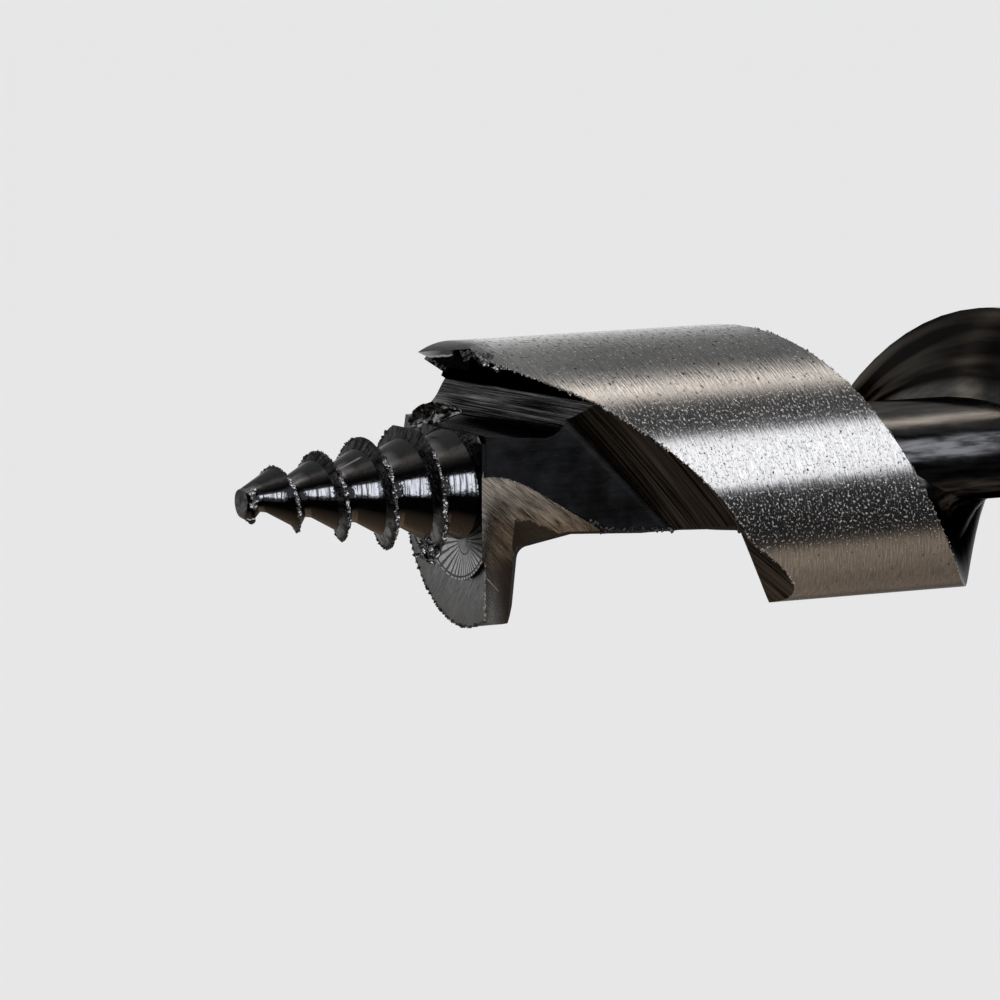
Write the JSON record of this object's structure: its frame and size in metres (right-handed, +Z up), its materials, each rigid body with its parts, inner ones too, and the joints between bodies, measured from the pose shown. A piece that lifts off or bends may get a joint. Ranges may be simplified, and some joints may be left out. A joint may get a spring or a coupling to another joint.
{
  "type": "auger drill bit",
  "caption": "Single-twist wood auger with a threaded lead screw, a cutting lip, a scoring spur, a solid-centre twist and a hexagonal shank.",
  "frame": {"origin": "centre of the bit's bounding box in plan, on the surface that its twist lies on", "axes": "+X along the bit's axis towards the hexagonal shank, +Z up, with the cutting lip underneath"},
  "size_m": [0.235, 0.02, 0.02],
  "materials": {
    "tool_steel": "ground bright on the outside of the twist, glossy black in the flutes, with tan grinding at the lip"
  },
  "bodies": {
    "root": {"auger_bit": "tool_steel"}
  },
  "joints": []
}
